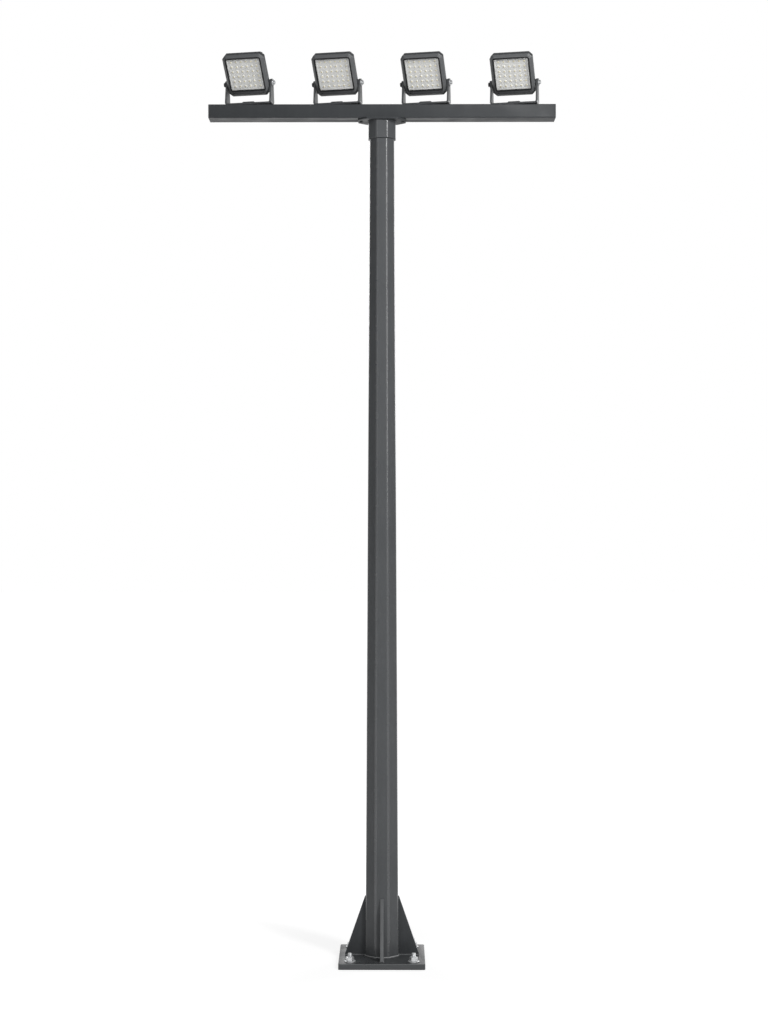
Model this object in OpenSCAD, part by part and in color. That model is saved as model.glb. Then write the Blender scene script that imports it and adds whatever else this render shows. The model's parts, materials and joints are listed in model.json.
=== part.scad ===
// Floodlight pole: a tapered octagonal column on a gusseted base plate, with a box-section
// crossarm that carries four LED floodlights in pan-and-tilt brackets.
// Millimetres, +Z up. The origin is at the centre of the base plate's underside, and the lamps
// face -Y.

/* [Overall] */
// Height of the crossarm's top face above the ground
arm_top_z = 6000; // [4500:50:7400]
// Overall length of the crossarm with its end caps
arm_l = 2430; // [1980:10:3000]

/* [Shaft] */
// Shaft across the flats where it meets the base plate
shaft_base_af = 231; // [190:1:290]
// Shaft across the flats at its top end
shaft_top_af = 169; // [130:1:185]
// Wall thickness of the shaft
shaft_wall = 5; // [3:0.5:8]

/* [Base] */
// Side of the square base plate
plate_w = 600; // [560:5:760]
// Thickness of the base plate
plate_t = 40; // [20:1:50]
// Radius of the plate's four upright corners
plate_corner_r = 12; // [4:1:30]
// Chamfer along the plate's top edge
plate_edge = 2; // [0.5:0.5:6]
// Thickness of each gusset
gusset_t = 24; // [12:1:30]
// Height of the gussets' tops above the ground
gusset_top_z = 450; // [300:5:600]
// Distance from the plate's edge to each gusset's foot
gusset_inset = 40; // [20:1:60]
// Width of the small flats at each gusset's tip and foot
gusset_land = 6; // [4:1:20]

/* [Anchors] */
// Spacing of the anchor studs, the same both ways
anchor_pitch = 440; // [400:5:460]
// Diameter of the anchor studs
stud_d = 30; // [20:1:32]
// Length of stud that stands above its nut
stud_out = 25; // [10:1:40]
// Anchor nut across the flats
nut_af = 50; // [46:1:55]
// Height of the anchor nut
nut_h = 27; // [16:1:30]
// Diameter of the anchor washer
washer_d = 80; // [70:1:92]
// Thickness of the anchor washer
washer_t = 6; // [3:0.5:8]
// Diameter of the anchor holes in the base plate
anchor_hole_d = 36; // [34:1:40]

/* [Column head] */
// Collar across the flats
collar_af = 192; // [188:1:215]
// Length of the collar below the head flange
collar_l = 126; // [80:1:200]
// Length of the head flange along the crossarm
flange_l = 335; // [310:5:420]
// Width of the head flange across the crossarm
flange_w = 224; // [216:2:260]
// Thickness of the head flange
flange_t = 12; // [8:1:20]
// Length of the flange's long edges, between its cut corners
flange_mid_l = 210; // [180:5:230]
// Width of the flange's ends, between its cut corners
flange_end_w = 108; // [80:2:140]
// Distance of the flange bolts from the column's axis
flange_bolt_x = 147; // [130:1:150]
// Diameter of the flange bolts
flange_bolt_d = 12; // [10:1:16]

/* [Crossarm] */
// Depth of the crossarm, front to back
arm_w = 160; // [120:5:200]
// Height of the crossarm
arm_h = 96; // [80:1:140]
// Wall thickness of the crossarm
arm_wall = 5; // [4:0.5:8]
// Outer corner radius of the crossarm's section
arm_corner_r = 8; // [6:1:12]
// Thickness of the welded end caps
cap_t = 5; // [3:1:10]

/* [Lamp placing] */
// Distance between neighbouring lamps
lamp_pitch = 621; // [600:1:720]
// Turn of the lamps about their pan bolts, towards -X
lamp_yaw = 13; // [0:1:40]
// Tilt of the lamps below the horizontal
lamp_tilt = 38; // [0:1:75]
// Height of the tilt pivots above the crossarm
pivot_h = 160; // [150:1:200]

/* [Lamp head] */
// Width of the lamp head
head_w = 301; // [240:1:306]
// Height of the lamp head
head_h = 310; // [260:1:320]
// Distance from the tilt pivots down to the head's lower edge
head_drop = 72; // [60:1:90]
// Cut of the head's four corners
head_corner = 26; // [22:1:34]
// Rounding where the cut corners meet the sides
head_round = 8; // [2:1:9]
// Distance from the tilt pivots forward to the bezel's face
face_y = 55; // [45:1:62]
// Width of the window in the bezel
window_w = 241; // [180:1:246]
// Height of the window in the bezel
window_h = 233; // [180:1:240]
// Height of the bezel below the window
sill_h = 50; // [42:1:54]
// Radius of the window's corners
window_r = 12; // [4:1:20]
// Depth of the bezel, front to back
bezel_d = 20; // [18:1:26]
// Depth of the sloping margin round the bezel's face
bevel_d = 16; // [6:1:16]
// Width of the sloping margin round the bezel's face
bevel_w = 20; // [8:1:20]
// Lip of the bezel that holds the glass, front to back
glass_lip = 2; // [1:0.5:4]
// Thickness of the glass
glass_t = 3; // [2:0.5:5]
// Thickness of the LED panel
panel_t = 4; // [2:0.5:5]
// Full-size depth of the housing behind the bezel
shell_d = 35; // [30:1:50]
// Wall of the housing
shell_wall = 5; // [3:0.5:8]
// Depth of the sloped back of the housing
slope_d = 14; // [8:1:20]
// Step in from the housing's side to its back
slope_w = 16; // [10:1:20]
// Height of the cooling fins
fin_h = 28; // [15:1:40]
// Thickness of each fin
fin_t = 4; // [3:0.5:6]
// Number of fins
fin_n = 13; // [7:2:17]
// Width of the driver compartment
driver_w = 156; // [100:2:200]
// Height of the driver compartment
driver_h = 128; // [90:2:160]
// Depth of the driver compartment behind the fins' roots
driver_d = 46; // [34:1:60]
// Diameter of the cable gland's cap
gland_d = 21; // [14:1:24]
// Length of the cable gland
gland_l = 24; // [16:1:30]

/* [Bracket] */
// Overall width of the yoke
yoke_w = 336; // [326:1:350]
// Thickness of the yoke's strap
strap_t = 12; // [6:0.5:14]
// Width of the strap at the yoke's foot
strap_w = 88; // [60:1:92]
// Inner bend radius of the yoke
bend_r = 7; // [4:1:12]
// Diameter of the rounded ends of the yoke's arms
ear_d = 54; // [46:1:60]
// Thickness of the pad under the yoke
pad_t = 8; // [6:1:16]
// Width of the pad under the yoke
pad_w = 66; // [50:1:72]
// Length of the clamp saddle at its foot
saddle_l = 100; // [70:1:140]
// Height of the clamp saddle
saddle_h = 9; // [8:0.5:14]
// Width of the clamp saddle, front to back
saddle_w = 60; // [44:1:66]
// Diameter of the pan bolt
pan_bolt_d = 16; // [12:1:20]
// Diameter of the pivot screws
pivot_d = 12; // [8:1:14]
// Diameter of the pivot screws' discs
disc_d = 52; // [40:1:56]
// Thickness of the pivot screws' discs
disc_t = 6; // [3:0.5:8]
// Diameter of the pivot screws' heads
pivot_head_d = 30; // [20:1:34]
// Height of the pivot screws' heads
pivot_head_h = 12; // [6:1:14]

/* [Hidden] */
// Gap left between pieces that are welded or clamped face to face
seat = 0.2;
// Clearance of a bolt in its hole, on the diameter
bolt_fit = 1;
// Overrun of a cutting shape past the face that it cuts
over = 1;
// Sides of a circle that is drawn as a circle
round_fn = 64;

lamp_n = 4;
lamps = [1 : lamp_n];
lamp_pieces = ["base_pad", "yoke", "saddle", "housing", "bezel", "glass", "led_panel", "pivot_screws"];

// Column heights
arm_bottom_z = arm_top_z - arm_h;
flange_z = arm_bottom_z - flange_t;
shaft_end_z = flange_z - 6;
collar_z = flange_z - collar_l;
washer_z = plate_t + seat;
nut_z = washer_z + washer_t;
stud_top_z = nut_z + nut_h + stud_out;

// Flange bolts
hex_head_h = 0.64 * flange_bolt_d;
hex_af = 1.6 * flange_bolt_d;

// Lamp head, measured from its pivots: x to the right, y to the back, z up the face
head_low_z = -head_drop;
head_top_z = head_h - head_drop;
window_low_z = head_low_z + sill_h;
bezel_back_y = bezel_d - face_y;
shell_y = bezel_back_y + seat;
shell_end_y = shell_y + shell_d;
back_y = shell_end_y + slope_d;
shell_inset = 1.5;
glass_y = glass_lip - face_y + seat;
panel_y = bezel_back_y - panel_t;
rebate = 3;
panel_fit = 1;
fin_pitch = (head_w - 2 * slope_w - 2 * fin_t) / fin_n;
driver_z = 12;
driver_r = 10;
gland_y = back_y + fin_h / 2;
gland_room = 34;
land = 0.5;

// Bracket
arm_in_x = yoke_w / 2 - strap_t;
bend_out = bend_r + strap_t;
pad_l = yoke_w - 2 * bend_out;
pad_z = arm_top_z + seat;
strap_z = pad_z + pad_t + seat;
saddle_z = strap_z + strap_t + seat;
saddle_top_l = saddle_l - 2.6 * saddle_h;
pan_head_h = 0.36 * pan_bolt_d;
pan_head_d = 1.75 * pan_bolt_d;
pan_recess = pan_head_h + 0.4;
boss_d = ear_d - 6;
boss_root = 20;
boss_end_x = arm_in_x - 0.4;

steel_grey = [0.33, 0.34, 0.35];
dark_grey = [0.22, 0.23, 0.24];
galvanized = [0.75, 0.76, 0.77];

// Across flats of the shaft's outside at a height
function shaft_af(z) =
    shaft_base_af + (shaft_top_af - shaft_base_af) * (z - plate_t) / (shaft_end_z - plate_t);

// A regular octagon with a flat to the front
module octagon(af) {
    rotate(22.5) circle(d = af / cos(22.5), $fn = 8);
}

// A tapered octagonal solid that keeps an offset from the shaft's outside
module shaft_form(low_z, high_z, grow) {
    low_af = shaft_af(low_z) + 2 * grow;
    high_af = shaft_af(high_z) + 2 * grow;
    translate([0, 0, low_z])
        linear_extrude(high_z - low_z, scale = high_af / low_af) octagon(low_af);
}

// A rectangle with rounded corners, centred
module round_box(w, h, r) {
    square([w - 2 * r, h], center = true);
    square([w, h - 2 * r], center = true);
    for (x = [-1, 1], y = [-1, 1])
        translate([x * (w / 2 - r), y * (h / 2 - r)]) circle(r = r, $fn = round_fn);
}

// One copy at each anchor
module at_anchors() {
    for (x = [-1, 1], y = [-1, 1])
        translate([x * anchor_pitch / 2, y * anchor_pitch / 2, 0]) children();
}

// One copy at each flange bolt
module at_flange_bolts() {
    for (x = [-1, 1]) translate([x * flange_bolt_x, 0, 0]) children();
}

// Across the crossarm's middle, where lamp i stands
function lamp_x(i) = (i - (lamp_n + 1) / 2) * lamp_pitch;

// The bracket's frame of lamp i: turned about its pan bolt
module at_bracket(i) {
    translate([lamp_x(i), 0, 0]) rotate([0, 0, -lamp_yaw]) children();
}

// The head's frame of lamp i: at its pivots, tilted down
module at_head(i) {
    at_bracket(i) translate([0, 0, arm_top_z + pivot_h]) rotate([lamp_tilt, 0, 0]) children();
}

module base_plate() {
    color(steel_grey) difference() {
        hull() {
            linear_extrude(plate_t - plate_edge) round_box(plate_w, plate_w, plate_corner_r);
            linear_extrude(plate_t)
                round_box(plate_w - 2 * plate_edge, plate_w - 2 * plate_edge, plate_corner_r);
        }
        at_anchors() translate([0, 0, -over])
            cylinder(d = anchor_hole_d, h = plate_t + 2 * over, $fn = round_fn);
    }
}

module gussets() {
    foot_r = plate_w / 2 - gusset_inset;
    low_r = shaft_af(plate_t) / 2 + seat;
    tip_r = shaft_af(gusset_top_z) / 2 + seat;
    color(steel_grey) for (a = [0 : 90 : 270])
        rotate([0, 0, a]) rotate([90, 0, 0])
            linear_extrude(gusset_t, center = true) polygon([
                [low_r, plate_t + seat],
                [foot_r, plate_t + seat],
                [foot_r, plate_t + gusset_land],
                [tip_r + gusset_land, gusset_top_z],
                [tip_r, gusset_top_z]
            ]);
}

module anchor_studs() {
    color(galvanized) at_anchors() cylinder(d = stud_d, h = stud_top_z, $fn = round_fn);
}

module anchor_nuts() {
    color(galvanized) at_anchors() translate([0, 0, nut_z + seat]) difference() {
        cylinder(d = nut_af / cos(30), h = nut_h - seat, $fn = 6);
        translate([0, 0, -over])
            cylinder(d = stud_d + seat, h = nut_h + 2 * over, $fn = round_fn);
    }
}

module anchor_washers() {
    color(galvanized) at_anchors() translate([0, 0, washer_z]) difference() {
        cylinder(d = washer_d, h = washer_t, $fn = round_fn);
        translate([0, 0, -over])
            cylinder(d = stud_d + bolt_fit, h = washer_t + 2 * over, $fn = round_fn);
    }
}

module pole_shaft() {
    color(steel_grey) difference() {
        shaft_form(plate_t + seat, shaft_end_z, 0);
        shaft_form(plate_t - over, shaft_end_z + over, -shaft_wall);
    }
}

module top_collar() {
    color(steel_grey) difference() {
        translate([0, 0, collar_z]) linear_extrude(collar_l - seat) octagon(collar_af);
        shaft_form(collar_z - over, flange_z + over, seat);
    }
}

module head_flange() {
    corners = [
        [flange_mid_l / 2, flange_w / 2],
        [flange_l / 2, flange_end_w / 2]
    ];
    color(steel_grey) difference() {
        translate([0, 0, flange_z]) linear_extrude(flange_t - seat) polygon([
            [-corners[0].x, -corners[0].y], [corners[0].x, -corners[0].y],
            [corners[1].x, -corners[1].y], [corners[1].x, corners[1].y],
            [corners[0].x, corners[0].y], [-corners[0].x, corners[0].y],
            [-corners[1].x, corners[1].y], [-corners[1].x, -corners[1].y]
        ]);
        at_flange_bolts() translate([0, 0, flange_z - over])
            cylinder(d = flange_bolt_d + bolt_fit, h = flange_t + 2 * over, $fn = round_fn);
    }
}

// Hexagon bolts up through the flange, with their nuts inside the crossarm
module flange_bolts() {
    grip = flange_t + arm_wall + 2 * seat;
    thread_out = 1.2 * flange_bolt_d;
    color(dark_grey) at_flange_bolts() translate([0, 0, flange_z - seat]) {
        translate([0, 0, -hex_head_h])
            cylinder(d = hex_af / cos(30), h = hex_head_h, $fn = 6);
        translate([0, 0, -over])
            cylinder(d = flange_bolt_d, h = over + grip + thread_out, $fn = round_fn);
        translate([0, 0, grip])
            cylinder(d = hex_af / cos(30), h = 0.8 * flange_bolt_d, $fn = 6);
    }
}

// The crossarm's section, upright, with its wall or filled
module arm_section(wall) {
    difference() {
        round_box(arm_w, arm_h, arm_corner_r);
        if (wall > 0) round_box(arm_w - 2 * wall, arm_h - 2 * wall, arm_corner_r - wall);
    }
}

// Lays an upright section along X, centred on the crossarm
module along_arm(length) {
    translate([0, 0, arm_top_z - arm_h / 2]) rotate([90, 0, 90])
        linear_extrude(length, center = true) children();
}

module crossarm() {
    color(steel_grey) difference() {
        along_arm(arm_l - 2 * cap_t - 2 * seat) arm_section(arm_wall);
        at_flange_bolts() translate([0, 0, arm_bottom_z - over])
            cylinder(d = flange_bolt_d + bolt_fit, h = arm_wall + 2 * over, $fn = round_fn);
        for (i = lamps) translate([lamp_x(i), 0, arm_top_z - arm_wall - over])
            cylinder(d = pan_bolt_d + bolt_fit, h = arm_wall + 2 * over, $fn = round_fn);
    }
}

module end_caps() {
    color(steel_grey) for (x = [-1, 1])
        translate([x * (arm_l - cap_t) / 2, 0, 0]) along_arm(cap_t) arm_section(0);
}

// Low-head bolts that sit in the saddles' recesses, with their nuts inside the crossarm
module pan_bolts() {
    head_z = saddle_z + saddle_h - pan_recess + seat;
    pan_nut_h = 0.8 * pan_bolt_d;
    nut_top_z = arm_top_z - arm_wall - seat;
    thread_z = nut_top_z - pan_nut_h - 4;
    color(dark_grey) for (i = lamps) translate([lamp_x(i), 0, 0]) {
        translate([0, 0, head_z]) cylinder(d = pan_head_d, h = pan_head_h, $fn = round_fn);
        translate([0, 0, thread_z])
            cylinder(d = pan_bolt_d, h = head_z + over - thread_z, $fn = round_fn);
        translate([0, 0, nut_top_z - pan_nut_h])
            cylinder(d = 1.5 * pan_bolt_d / cos(30), h = pan_nut_h, $fn = 6);
    }
}

module base_pad(i) {
    color(dark_grey) at_bracket(i) translate([0, 0, pad_z]) difference() {
        linear_extrude(pad_t) round_box(pad_l, pad_w, 6);
        translate([0, 0, -over])
            cylinder(d = pan_bolt_d + bolt_fit, h = pad_t + 2 * over, $fn = round_fn);
    }
}

// The yoke seen from the front: a U with round bends
module yoke_front() {
    rise = arm_top_z + pivot_h + ear_d - strap_z;
    translate([0, strap_z + rise / 2]) difference() {
        round_box(yoke_w, rise, bend_out);
        translate([0, strap_t]) round_box(yoke_w - 2 * strap_t, rise, bend_r);
    }
}

// The yoke seen from its side: straight at the foot, then narrowing to a round ear
module yoke_side() {
    low_z = strap_z + bend_out;
    reach = arm_top_z + pivot_h - low_z;
    tangent = acos(ear_d / 2 / norm([strap_w / 2, reach])) - atan2(reach, strap_w / 2);
    ear_x = ear_d / 2 * cos(tangent);
    ear_z = low_z + reach + ear_d / 2 * sin(tangent);
    translate([0, low_z + reach]) circle(d = ear_d, $fn = round_fn);
    polygon([
        [-strap_w / 2, strap_z - over], [strap_w / 2, strap_z - over], [strap_w / 2, low_z],
        [ear_x, ear_z], [-ear_x, ear_z], [-strap_w / 2, low_z]
    ]);
}

module yoke(i) {
    color(steel_grey) at_bracket(i) difference() {
        intersection() {
            rotate([90, 0, 0]) linear_extrude(strap_w + 2 * over, center = true) yoke_front();
            rotate([90, 0, 90]) linear_extrude(yoke_w + 2 * over, center = true) yoke_side();
        }
        translate([0, 0, strap_z - over])
            cylinder(d = pan_bolt_d + bolt_fit, h = strap_t + 2 * over, $fn = round_fn);
        for (x = [-1, 1]) translate([x * (yoke_w - strap_t) / 2, 0, arm_top_z + pivot_h])
            rotate([0, 90, 0])
                cylinder(d = pivot_d + bolt_fit, h = strap_t + 2 * over, center = true, $fn = round_fn);
    }
}

module saddle(i) {
    color(dark_grey) at_bracket(i) difference() {
        translate([0, saddle_w / 2, saddle_z]) rotate([90, 0, 0])
            linear_extrude(saddle_w) polygon([
                [-saddle_l / 2, 0], [saddle_l / 2, 0],
                [saddle_top_l / 2, saddle_h], [-saddle_top_l / 2, saddle_h]
            ]);
        translate([0, 0, saddle_z - over])
            cylinder(d = pan_bolt_d + bolt_fit, h = saddle_h + 2 * over, $fn = round_fn);
        translate([0, 0, saddle_z + saddle_h - pan_recess])
            cylinder(d = pan_head_d + 2 * bolt_fit, h = pan_recess + over, $fn = round_fn);
    }
}

// The head's outline seen from the front, inset all round
module head_outline(inset) {
    w = head_w / 2 - inset;
    low = head_low_z + inset;
    high = head_top_z - inset;
    cut = head_corner - 0.58 * inset;
    offset(r = head_round, $fn = 32) offset(delta = -head_round) polygon([
        [-w + cut, low], [w - cut, low], [w, low + cut], [w, high - cut],
        [w - cut, high], [-w + cut, high], [-w, high - cut], [-w, low + cut]
    ]);
}

// Stands a front-view outline up in the head's frame, from front_y backwards
module from_face(front_y, depth) {
    translate([0, front_y + depth, 0]) rotate([90, 0, 0]) linear_extrude(depth) children();
}

// A rectangle on the window's middle, larger than the window all round by grow
module window_outline(grow) {
    translate([0, window_low_z + window_h / 2])
        round_box(window_w + 2 * grow, window_h + 2 * grow, window_r + min(grow, 0));
}

module bezel(i) {
    color(dark_grey) at_head(i) difference() {
        hull() {
            from_face(-face_y, land) head_outline(bevel_w);
            from_face(-face_y + bevel_d, bezel_d - bevel_d) head_outline(0);
        }
        from_face(-face_y - over, bezel_d + 2 * over) window_outline(0);
        from_face(-face_y + glass_lip, bezel_d) window_outline(rebate);
    }
}

module glass(i) {
    color([0.85, 0.88, 0.9, 0.5]) at_head(i)
        from_face(glass_y, glass_t) window_outline(rebate - panel_fit);
}

module led_panel(i) {
    color([0.85, 0.85, 0.84]) at_head(i)
        from_face(panel_y, panel_t) window_outline(rebate - panel_fit);
}

// The room inside the housing: a mouth behind the LED panel, then the full width, then the driver's
module housing_room() {
    from_face(shell_y - over, shell_wall + over) window_outline(-shell_wall);
    from_face(shell_y + shell_wall - over, shell_d - shell_wall + over)
        head_outline(shell_inset + shell_wall);
    from_face(shell_end_y - over, slope_d + driver_d - shell_wall + over)
        translate([0, driver_z + driver_h / 2])
            round_box(driver_w - 2 * shell_wall, driver_h - 2 * shell_wall, driver_r - shell_wall);
}

// Cooling fins, upright along the back, with room left below the driver for the cable gland
module fins() {
    low_z = head_low_z + slope_w + 8;
    high_z = head_top_z - slope_w - 8;
    for (k = [0 : fin_n - 1]) {
        x = (k - (fin_n - 1) / 2) * fin_pitch;
        start_z = abs(x) < gland_room / 2 ? driver_z : low_z;
        translate([x - fin_t / 2, back_y - over, start_z])
            cube([fin_t, fin_h + over, high_z - start_z]);
    }
}

// Cable gland under the driver compartment
module gland() {
    translate([0, gland_y, driver_z + over]) rotate([180, 0, 0]) {
        cylinder(d = 1.25 * gland_d / cos(30), h = gland_l / 3 + over, $fn = 6);
        cylinder(d = gland_d, h = gland_l + over, $fn = round_fn);
    }
}

module housing(i) {
    color(dark_grey) at_head(i) {
        difference() {
            union() {
                hull() {
                    from_face(shell_y, shell_d) head_outline(shell_inset);
                    from_face(back_y - land, land) head_outline(slope_w);
                }
                fins();
                // Driver compartment
                from_face(back_y - over, driver_d + over)
                    translate([0, driver_z + driver_h / 2])
                        round_box(driver_w, driver_h, driver_r);
            }
            housing_room();
        }
        gland();
        // Bosses that the pivot screws are tightened against
        for (side = [0, 1]) mirror([side, 0, 0])
            translate([head_w / 2 - boss_root, 0, 0]) rotate([0, 90, 0])
                cylinder(d = boss_d, h = boss_end_x - head_w / 2 + boss_root, $fn = round_fn);
    }
}

// Screws with their discs outside the yoke's arms
module pivot_screws(i) {
    disc_x = yoke_w / 2 + seat;
    color(galvanized) at_head(i) for (side = [0, 1]) mirror([side, 0, 0]) rotate([0, 90, 0]) {
        translate([0, 0, disc_x]) cylinder(d = disc_d, h = disc_t, $fn = round_fn);
        translate([0, 0, disc_x + disc_t - over])
            cylinder(d = pivot_head_d, h = pivot_head_h + over, $fn = round_fn);
        translate([0, 0, boss_end_x + seat])
            cylinder(d = pivot_d, h = disc_x - boss_end_x, $fn = round_fn);
    }
}

base_plate();
gussets();
anchor_studs();
anchor_nuts();
anchor_washers();
pole_shaft();
top_collar();
head_flange();
flange_bolts();
crossarm();
end_caps();
pan_bolts();
for (i = lamps) {
    base_pad(i);
    yoke(i);
    saddle(i);
    housing(i);
    bezel(i);
    glass(i);
    led_panel(i);
    pivot_screws(i);
}
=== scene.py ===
"""The looks of a four-lamp floodlight pole, in metres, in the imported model's own frame."""

import json
import math

import bmesh
import bpy
from mathutils import Matrix, Vector

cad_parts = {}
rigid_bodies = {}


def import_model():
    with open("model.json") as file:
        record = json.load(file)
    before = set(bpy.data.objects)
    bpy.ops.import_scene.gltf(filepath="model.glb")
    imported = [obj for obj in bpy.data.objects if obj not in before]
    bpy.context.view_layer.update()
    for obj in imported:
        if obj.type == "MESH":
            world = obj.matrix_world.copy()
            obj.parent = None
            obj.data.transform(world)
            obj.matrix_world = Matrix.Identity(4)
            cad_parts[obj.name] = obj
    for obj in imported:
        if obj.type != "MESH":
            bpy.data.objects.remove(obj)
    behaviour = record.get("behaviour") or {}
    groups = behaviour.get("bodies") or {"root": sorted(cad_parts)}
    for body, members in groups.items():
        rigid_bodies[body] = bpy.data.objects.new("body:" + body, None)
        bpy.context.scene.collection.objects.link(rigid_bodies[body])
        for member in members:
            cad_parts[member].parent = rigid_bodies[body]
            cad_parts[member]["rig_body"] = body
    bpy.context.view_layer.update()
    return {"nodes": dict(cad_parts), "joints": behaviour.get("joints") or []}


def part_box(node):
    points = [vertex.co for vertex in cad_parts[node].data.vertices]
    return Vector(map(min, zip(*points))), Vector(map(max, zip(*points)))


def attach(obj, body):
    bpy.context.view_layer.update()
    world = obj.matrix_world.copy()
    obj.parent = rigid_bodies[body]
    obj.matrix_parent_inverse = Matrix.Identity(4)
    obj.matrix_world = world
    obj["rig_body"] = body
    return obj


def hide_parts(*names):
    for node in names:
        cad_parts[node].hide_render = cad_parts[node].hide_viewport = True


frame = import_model()
nodes = frame["nodes"]
joints = {joint["name"]: joint for joint in frame["joints"]}
scene = bpy.context.scene
scene.view_settings.view_transform = "Standard"

# ---- Camera -----------------------------------------------------------------------------
# A level camera at half the pole's height, a long way off, and a hair to the right of its
# front, so that the crossarm's underside and the base plate's top both show.
camera_place = (0.092, -13.2, 3.148)
camera_turn = math.radians(0.339)
level = math.radians(90.0)
camera = bpy.data.objects.new("camera", bpy.data.cameras.new("camera"))
camera.data.sensor_fit = "VERTICAL"
camera.data.sensor_height = 36.0
camera.data.lens = 66.0
camera.data.clip_end = 200.0
camera.location = camera_place
camera.rotation_euler = (level, 0.0, camera_turn)
scene.collection.objects.link(camera)
scene.camera = camera

# ---- Base plate -------------------------------------------------------------------------
# A 40 mm flame-cut steel plate with its edges ground, galvanized and then painted with the
# column in satin dark grey. Its rounded edges take a paler paint: a painted highlight.
merge_gap = 2e-5
flat_within = math.radians(0.4)
plate_edge_r = 0.0022


def add_node(tree, kind, inputs=None, **settings):
    """Adds a shader node with its settings, and sets or links its inputs."""
    node = tree.nodes.new(kind)
    for key, value in settings.items():
        setattr(node, key, value)
    for key, value in (inputs or {}).items():
        if isinstance(value, bpy.types.NodeSocket):
            tree.links.new(value, node.inputs[key])
        else:
            node.inputs[key].default_value = value
    return node


def new_finish(name, **sockets):
    """A material, its node tree, its shader, and the point on the piece that its patterns read."""
    material = bpy.data.materials.new(name)
    material.use_nodes = True
    tree = material.node_tree
    shader = tree.nodes["Principled BSDF"]
    for key, value in sockets.items():
        shader.inputs[key.replace("_", " ")].default_value = value
    point = tree.nodes.new("ShaderNodeTexCoord").outputs["Object"]
    return material, tree, shader, point


def noise(tree, point, scale, stretch=(1, 1, 1), detail=3.0):
    """Noise of so many grains a metre, drawn out along the axes whose stretch is below 1."""
    mapping = add_node(tree, "ShaderNodeMapping", {"Vector": point, "Scale": stretch})
    grain = add_node(
        tree,
        "ShaderNodeTexNoise",
        {"Vector": mapping.outputs["Vector"], "Scale": scale, "Detail": detail},
    )
    return grain.outputs["Fac"]


def spread(tree, value, low, high, start=0.35, end=0.65):
    """Takes a value's middle range to low and high."""
    node = add_node(
        tree,
        "ShaderNodeMapRange",
        {"Value": value, "From Min": start, "From Max": end, "To Min": low, "To Max": high},
    )
    return node.outputs["Result"]


def tint(tree, amount, first, second):
    """Mixes two colours by an amount from 0 to 1."""
    node = add_node(tree, "ShaderNodeMix", data_type="RGBA")
    tree.links.new(amount, node.inputs[0])
    for socket, colour in ((6, first), (7, second)):
        if isinstance(colour, bpy.types.NodeSocket):
            tree.links.new(colour, node.inputs[socket])
        else:
            node.inputs[socket].default_value = (*colour, 1.0)
    return node.outputs[2]


def powder_coat(name, dark, pale, rough, peel, specular=0.25, rise=0.35):
    """Satin powder coat: cloudy colour, faint rain streaks, dust near the ground, orange peel."""
    material, tree, shader, point = new_finish(name, Specular_IOR_Level=specular)
    cloud = spread(tree, noise(tree, point, 2.2, detail=4.0), 0.0, 1.0)
    streak = spread(tree, noise(tree, point, 22.0, (1, 1, 0.06)), 0.0, 0.12, 0.45, 0.75)
    body = tint(tree, cloud, dark, pale)
    dusty = [channel * 1.3 + 0.012 for channel in pale]
    washed = tint(tree, streak, body, dusty)
    height = add_node(tree, "ShaderNodeSeparateXYZ", {"Vector": point}).outputs["Z"]
    dust_top = 0.7
    low = spread(tree, height, 0.35, 0.0, 0.0, dust_top)
    patchy = add_node(tree, "ShaderNodeMath", operation="MULTIPLY")
    tree.links.new(low, patchy.inputs[0])
    tree.links.new(spread(tree, noise(tree, point, 14.0), 0.3, 1.0), patchy.inputs[1])
    tree.links.new(tint(tree, patchy.outputs[0], washed, dusty), shader.inputs["Base Color"])
    worn = spread(tree, noise(tree, point, 9.0), rough - 0.05, rough + 0.06)
    tree.links.new(worn, shader.inputs["Roughness"])
    skin = noise(tree, point, peel, detail=1.0)
    bump = add_node(
        tree, "ShaderNodeBump", {"Height": skin, "Strength": rise, "Distance": 0.0003}
    )
    tree.links.new(bump.outputs["Normal"], shader.inputs["Normal"])
    return material


steel_paint = powder_coat(
    "steel_paint", (0.040, 0.043, 0.046), (0.046, 0.049, 0.052), 0.48, 420.0, 0.2
)
# A paler copy of the steel paint for rounded edges and cut slopes: a painted highlight.
edge_highlight_paint = powder_coat(
    "steel_edge_paint", (0.10, 0.104, 0.108), (0.145, 0.149, 0.153), 0.34, 420.0
)


def rounded_copy(node, radius, finishes, steps=3, angle=28.0):
    """A copy of a CAD node, merged, with its edges rounded as the real piece's are."""
    mesh = nodes[node].data.copy()
    mesh.name = node + "_skin"
    bm = bmesh.new()
    bm.from_mesh(mesh)
    bmesh.ops.remove_doubles(bm, verts=bm.verts, dist=merge_gap)
    bmesh.ops.dissolve_limit(bm, angle_limit=flat_within, verts=bm.verts, edges=bm.edges)
    for face in bm.faces:
        face.smooth = True
        face.material_index = 0
    bm.to_mesh(mesh)
    bm.free()
    mesh.materials.clear()
    for finish in finishes:
        mesh.materials.append(finish)
    piece = bpy.data.objects.new(node + "_skin", mesh)
    scene.collection.objects.link(piece)
    bevel = piece.modifiers.new("rounded_edges", "BEVEL")
    bevel.width = radius
    bevel.segments = steps
    bevel.limit_method = "ANGLE"
    bevel.angle_limit = math.radians(angle)
    bevel.harden_normals = True
    # The last of two or more finishes goes on the rounded edges; a paler edge paint there is a
    # painted highlight.
    bevel.material = len(finishes) - 1 if len(finishes) > 1 else -1
    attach(piece, nodes[node]["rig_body"])
    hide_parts(node)
    return piece


plate_paint = powder_coat(
    "plate_paint", (0.046, 0.049, 0.052), (0.053, 0.056, 0.059), 0.30, 420.0, 0.5
)
rounded_copy("base_plate", plate_edge_r, (plate_paint, edge_highlight_paint))

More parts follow.
